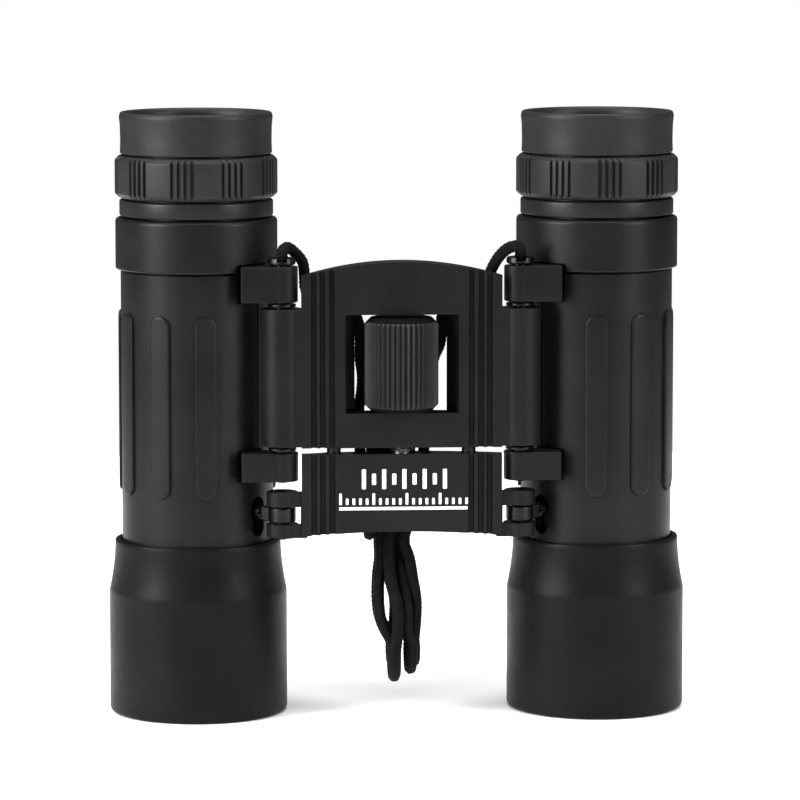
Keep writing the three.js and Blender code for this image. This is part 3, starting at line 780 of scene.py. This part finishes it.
def objective():
    """The sliding cell with stepped baffles, its threaded retainer, its stud and the arm to the slide."""
    steps = [(12 - 0.35 * (i // 2), 17.5 + (i // 2 + i % 2) * 1.7) for i in range(10)]
    outline = [(13.1, 7.15), (13.25, 7), (14.05, 7), (14.2, 7.15), (14.2, 23.9), (14, 24.1), (11.5, 24.1),
               (11.5, 41.8), (11.3, 42), (10.1, 42)] + steps[::-1] + [(12, 15.6), (13.1, 15.6)]
    cell = turned("objective_barrel", outline, sides=128)
    combine(cell, "DIFFERENCE", [sideways(pin("hole", 1.2, 8, 13), 37.13)])
    both(creased(cell), ANODISED, "cell", "objective_cell")
    ring = rounded([(12.1, 7.4), (12.8, 7.4, 0.1), (12.8, 9.2, 0.1), (12.1, 9.2, 0.3)])
    retainer = turned("lens_retainer", ring, sides=128)
    notches = [block("notch", (x - 0.6, x + 0.6), (-0.5, 0.5), (7, 8)) for x in (-12.45, 12.45)]
    both(creased(combine(retainer, "DIFFERENCE", notches)), BAFFLE_AND_SHADE, "cell", "objective_retainer")
    outline = arc(REACH, 0, 2.4, -150, 150, 32) + [(15, 1.2), (15, -1.2)]
    arm = raised("eyelet_arm", outline, 35.86, 38.4)
    arm = combine(arm, "DIFFERENCE", [pin("bore", 1.3, 35, 39, REACH)])
    both(softened(arm, 0.2), BLACK_STEEL, "blackened_steel", "focus_arm")
    screw = turned("arm_screw", [(0, 10.6), (0.8, 10.6), (0.9, 10.7), (0.9, 13.2), (1.25, 13.2), (1.25, 14.5),
                                 (1.05, 14.7), (0, 14.7)], sides=40)
    screw = combine(screw, "DIFFERENCE", [block("slot", (-0.18, 0.18), (-2, 2), (14.35, 15))])
    both(creased(sideways(screw, 37.13)), BLACK_STEEL, "blackened_steel", "stud_screw")


def sideways(piece, z):
    """Lays a piece made along Z over so that it points along +X at that height."""
    piece.data.transform(Matrix.Translation((0, 0, z * MM)) @ Matrix.Rotation(math.pi / 2, 4, "Y"))
    return piece


# ---- Bridge, slide, wheel and hinges ----
GROOVES = (12.35, 14.05, 15.6)
PLATE_HALF = 17.78


def front_edge(y):
    """The plate's front in plan from left to right, with three round-edged grooves on each side."""
    corners_in_plan = []
    for x in sorted([-g for g in GROOVES] + list(GROOVES)):
        bottom = y + GROOVE_DEPTH
        corners_in_plan += [(x - 0.52, y, 0.16), (x - 0.42, bottom, 0.3), (x + 0.42, bottom, 0.3),
                            (x + 0.52, y, 0.16)]
    return corners_in_plan


def plate_plan(front, back, edge):
    """A flat grooved front and a back that bows outwards in the middle."""
    outline = rounded([(-PLATE_HALF, front), *front_edge(front), (PLATE_HALF, front)])
    shares = [1 - i / 12 for i in range(25)]
    return outline + [(PLATE_HALF * s, back + (edge - back) * s * s) for s in shares]


def arched(half, low, side, top, steps=40):
    crown = (top - side) / half**2
    shares = [1 - 2 * i / steps for i in range(steps + 1)]
    return [(-half, low), (half, low)] + [(s * half, top - crown * (s * half) ** 2) for s in shares]


def boss(low, high, x):
    """The round body about a guide rod, cut back to just behind the groove in front of it."""
    body = rod("boss", GUIDE_BOSS, low, high, x, WHEEL_Y)
    reach, depth = GUIDE_BOSS + 0.5, (PLATE_FRONT - 1, PLATE_FRONT + GROOVE_DEPTH + 0.05)
    return combine(body, "DIFFERENCE", [block("clear", (x - reach, x + reach), depth, (low - 1, high + 1))])


def bridge():
    low, top = heights("bridge")
    front, hinge_low, hinge_high = PLATE_FRONT, 49.5, 73.95
    plate = raised("bridge_plate", plate_plan(front, -8.2, -11.6), low - 1, top + 1)
    combine(plate, "INTERSECT", [upright("arch", arched(PLATE_HALF, low, 79.9, top), -20, 0)])
    softened(plate, 0.2)
    added, bores = [], [pin("bore", 2.43, low - 1, 56.5, 0, WHEEL_Y)]
    for hand in (-1, 1):
        x = hand * HINGE.x
        added.append(rod("tube", 3.7, hinge_low, hinge_high, x, HINGE.y))
        web = sorted((hand * 16.4, hand * 19.6))
        added.append(softened(block("web", web, (front, -11), (hinge_low, hinge_high)), 0.15))
        added.append(boss(low + 0.1, 62, hand * GUIDE_X))
        bores.append(pin("bore", 1.5, low - 1, 75, x, HINGE.y))
        bores.append(pin("bore", GUIDE_BORE, low - 1, 61.2, hand * GUIDE_X, WHEEL_Y))
    combine(plate, "UNION", added)
    combine(plate, "DIFFERENCE", [*bores, window(front)])
    placed(creased(plate), PAINT, "frame", "bridge")
    shade_window_walls(plate.data, front)


def shade_window_walls(mesh, front):
    """Painted shade: the window's walls get the dark matt material, standing in for the shade deep in the recess.
    """
    mesh.materials.append(BAFFLE_AND_SHADE)
    slack = 0.02
    for face in mesh.polygons:
        centre = face.center / MM
        across = abs(centre.x) < WINDOW["half"] + slack
        upright_range = WINDOW["low"] - slack < centre.z < WINDOW["high"] + slack
        if across and upright_range and centre.y > front + slack:
            face.material_index = 1


WINDOW = {"half": 10.05, "back_half": 7.9, "low": 55.45, "high": 72.97}


def window(front):
    """A square hole that narrows towards the back, with a flared mouth."""
    half, back_half = WINDOW["half"], WINDOW["back_half"]
    plan = [(-half, front - 3), (half, front - 3), (half, front), (back_half, -8.2), (back_half, 0),
            (-back_half, 0), (-back_half, -8.2), (-half, front)]
    return raised("window", plan, WINDOW["low"], WINDOW["high"])


def slide():
    low, top = 34.3, heights("focus_slide")[1]
    front, edge = PLATE_FRONT, HINGE.x + 2.6
    ear = {"low": 33.05, "high": 41.35, "slot": (35.5, 38.76)}
    drop = (low - 32.8) / edge**2
    shares = [-1 + i / 18 for i in range(37)]
    profile = [(s * edge, low - drop * (s * edge) ** 2) for s in shares] + [(edge, top), (-edge, top)]
    body = raised("slide_plate", plate_plan(front, -8.6, -11.6), ear["low"] - 1, top)
    combine(body, "INTERSECT", [upright("profile", profile, -20, 0)])
    softened(body, 0.2)
    added, bores = [], [pin("bore", 1.8, 40.1, top + 1, 0, WHEEL_Y)]
    for hand in (-1, 1):
        x = hand * HINGE.x
        added.append(rod("ear", 2.85, ear["low"], ear["high"], x, HINGE.y, 0.3))
        web = sorted((hand * 16.8, hand * 21.2))
        ear_web = block("web", web, (front + 0.55, WHEEL_Y), (ear["low"] + 0.1, ear["high"]))
        added.append(softened(ear_web, 0.2))
        added.append(boss(ear["low"] + 0.8, top - 0.1, hand * GUIDE_X))
        bores.append(block("slot", sorted((hand * 17.95, hand * 25)), (-20, 0), ear["slot"]))
        bores.append(pin("bore", 1.3, ear["low"] - 1, ear["high"] + 1, x, HINGE.y))
        bores.append(pin("bore", GUIDE_BORE, 40.1, top + 1, hand * GUIDE_X, WHEEL_Y))
    combine(body, "UNION", added)
    combine(body, "DIFFERENCE", bores)
    placed(creased(body), PAINT, "frame", "focus_slide")
    printed_scale(front)


def printed_scale(front):
    """A plain tick scale in two rows, printed on the slide."""
    marks = []
    for i in range(9):
        x, tall = -6.8 + i * 1.8, i % 2 == 0
        half = 1.775 if tall else 1.0
        marks.append(mark(x - 0.36, x + 0.36, 43.72 - half, 43.72 + half, front))
    marks.append(mark(-11.2, 11.65, 38.2, 38.75, front))
    for i in range(20):
        x = -10.95 + i * 1.18
        marks.append(mark(x - 0.24, x + 0.24, 39.15, 41.2 if i % 5 == 0 else 40.3, front))
    scale = joined("printed_scale", marks)
    scale.data.materials.clear()
    scale.data.materials.append(WHITE)
    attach(scale, "slide")


def mark(left, right, low, high, front):
    corner = 0.15
    square = ((left, low), (right, low), (right, high), (left, high))
    outline = rounded([(x, z, corner) for x, z in square], 3)
    return upright("mark", outline, front - 0.05, front + 0.05)


def wheel():
    """Fine vee ridges that run out into a chamfer at both ends."""
    low, high = heights("focus_wheel")
    ridges, radius, bore, depth, bevel, steps = 42, 6.6, 2.45, 0.55, 1.15, 8
    shares = [i / steps for i in range(steps + 1)]
    outline = [(bore, low + 0.2), (bore + 0.2, low)]
    outline += [(radius - bevel * (1 - t), low + bevel * t) for t in shares]
    outline += [(radius - bevel * t, high - bevel * (1 - t)) for t in shares]
    outline += [(bore + 0.2, high), (bore, high - 0.2)]

    def ridged(r, z, angle):
        phase = (ridges * angle / math.tau) % 1
        return min(r, radius - depth * abs(2 * phase - 1))

    body = turned("ridged_wheel", outline, sides=ridges * 10, shaped=ridged, crease=25)
    placed(body, RUBBER, "grip_rubber", "focus_wheel", place=standing(0, WHEEL_Y))
    # Painted shade: the chamfered ends get the dark matt material, standing in for the shade that the window's
    # edges cast on them
    body.data.materials.append(BAFFLE_AND_SHADE)
    for face in body.data.polygons:
        if not low + 0.65 < face.center.z / MM < high - 0.65:
            face.material_index = 1


def focus_screw():
    """A four-start thread below a plain spigot."""
    low, high = heights("focus_screw")
    radius, spigot, shoulder, lead, starts = 2.13, 1.5, 48.45, 2.4, 4
    steps = int((high - 0.6 - shoulder) / 0.1)
    outline = [(0, low), (spigot - 0.2, low), (spigot, low + 0.2), (spigot, shoulder)]
    outline += [(radius, mixed(shoulder + 0.05, high - 0.5, i / steps)) for i in range(steps + 1)]
    outline += [(radius - 0.5, high), (0, high)]

    def threaded(r, z, angle):
        phase = (starts * angle / math.tau - starts * z / lead) % 1
        return r - 0.22 * abs(2 * phase - 1) if r > 2 else r

    screw = turned("threaded_screw", outline, sides=48, shaped=threaded)
    placed(screw, STEEL, "steel", "focus_screw", place=standing(0, WHEEL_Y))


def hinge(side):
    x = HANDS[side] * HINGE.x
    place = standing(x, HINGE.y)
    low, high = heights(f"{side}_hinge_pin")
    base = UPPER_LUG[1] + 0.3
    post = turned("post", [(0, low), (1, low), (1.2, low + 0.2), (1.2, base), (2.25, base), (2.45, base + 0.2),
                           (2.45, high - 0.4), (2.3, high - 0.12), (2.0, high), (0, high)], sides=72)
    notch = block("notch", (-0.9, 0.9), (-3, 0), (high - 0.7, high + 1))
    combine(post, "DIFFERENCE", [pin("hole", 1.25, high - 0.7, high + 1), notch])
    post.name = f"{side}_pin_with_post"
    placed(creased(post), BLACK_STEEL, "blackened_steel", f"{side}_hinge_pin", place=place)
    for which in ("lower", "upper"):
        bottom, top = heights(f"{side}_{which}_washer")
        ring = rounded([(1.5, bottom, 0.1), (2.5, bottom, 0.15), (2.5, top, 0.15), (1.5, top, 0.1)], 3)
        washer = turned(f"{side}_{which}_spacer", ring, sides=72)
        placed(washer, BLACK_STEEL, "blackened_steel", f"{side}_{which}_washer", place=place)
    bottom, top = heights(f"{side}_clevis_pin")
    rivet = turned(f"{side}_clevis_rivet", [(0, bottom), (0.7, bottom), (1, bottom + 0.3), (1, top - 0.25),
                                            (0.75, top - 0.05), (0, top)], sides=48)
    placed(rivet, BLACK_STEEL, "blackened_steel", f"{side}_clevis_pin", place=place)
    bottom, top = heights(f"{side}_guide_rod")
    guide = turned(f"{side}_round_guide", [(0, bottom), (1.05, bottom), (1.25, bottom + 0.2), (1.25, top - 0.4),
                                           (0.85, top), (0, top)], sides=64)
    place = standing(HANDS[side] * GUIDE_X, WHEEL_Y)
    placed(guide, BLACK_STEEL, "blackened_steel", f"{side}_guide_rod", place=place)


def carried_over():
    """The optics' inner parts keep their CAD shapes and get finished materials."""
    for side in HANDS:
        for node, material in (("prism_cage", BAFFLE_AND_SHADE), ("half_penta_prism", PRISM), ("roof_prism", PRISM)):
            mesh = frame["nodes"][f"{side}_{node}"].data
            mesh.materials.clear()
            mesh.materials.append(material)


# ---- Floor, light and the order of making ----
def studio():
    """A pale floor under a white sky, a broad key light from the front left and a softer fill."""
    half = 350
    square = [(-half, -half, 0), (half, -half, 0), (half, half, 0), (-half, half, 0)]
    floor = make("floor", square, [(0, 1, 2, 3)])
    paper = Shader("pale_paper", Roughness=0.9)
    paper.colour(paper.ramp(paper.noise(2), grey(0.93), grey(0.95)))
    paper.bumps((paper.noise(900), 0.02))
    floor.data.materials.append(paper.material)
    scene = bpy.context.scene
    scene.view_settings.view_transform = "Standard"
    scene.world = bpy.data.worlds.new("studio")
    scene.world.use_nodes = True
    tree = scene.world.node_tree
    seen, lit = tree.nodes["Background"], tree.nodes.new("ShaderNodeBackground")
    seen.inputs["Color"].default_value, seen.inputs["Strength"].default_value = (1, 1, 1, 1), 1.0
    lit.inputs["Color"].default_value, lit.inputs["Strength"].default_value = (1, 1, 1, 1), 0.12
    choice, ray = tree.nodes.new("ShaderNodeMixShader"), tree.nodes.new("ShaderNodeLightPath")
    tree.links.new(ray.outputs["Is Camera Ray"], choice.inputs["Fac"])
    tree.links.new(lit.outputs["Background"], choice.inputs[1])
    tree.links.new(seen.outputs["Background"], choice.inputs[2])
    tree.links.new(choice.outputs["Shader"], tree.nodes["World Output"].inputs["Surface"])
    sun = bpy.data.objects.new("overhead", bpy.data.lights.new("overhead", "SUN"))
    sun.data.energy, sun.data.angle = 3.9, math.radians(70)
    scene.collection.objects.link(sun)
    area_light("key", (-0.85, -0.42, 0.42), (0, 0, 0.05), (0.5, 0.7), 18)
    area_light("fill", (0.75, -0.55, 0.4), (0, 0, 0.05), (0.3, 0.6), 7.5)


def area_light(name, place, target, size, power):
    data = bpy.data.lights.new(name, "AREA")
    data.shape, data.size, data.size_y, data.energy = "RECTANGLE", size[0], size[1], power
    light = bpy.data.objects.new(name, data)
    bpy.context.scene.collection.objects.link(light)
    light.location = place
    light.rotation_euler = (Vector(target) - Vector(place)).to_track_quat("-Z", "Y").to_euler()


def build():
    camera()
    neck_cord()
    bell()
    ocular()
    eyecup()
    optics()
    objective()
    for side in HANDS:
        cover(side)
        chassis(side)
        collar(side)
        grip_ring(side)
        hinge(side)
    bridge()
    slide()
    wheel()
    focus_screw()
    carried_over()
    studio()


build()
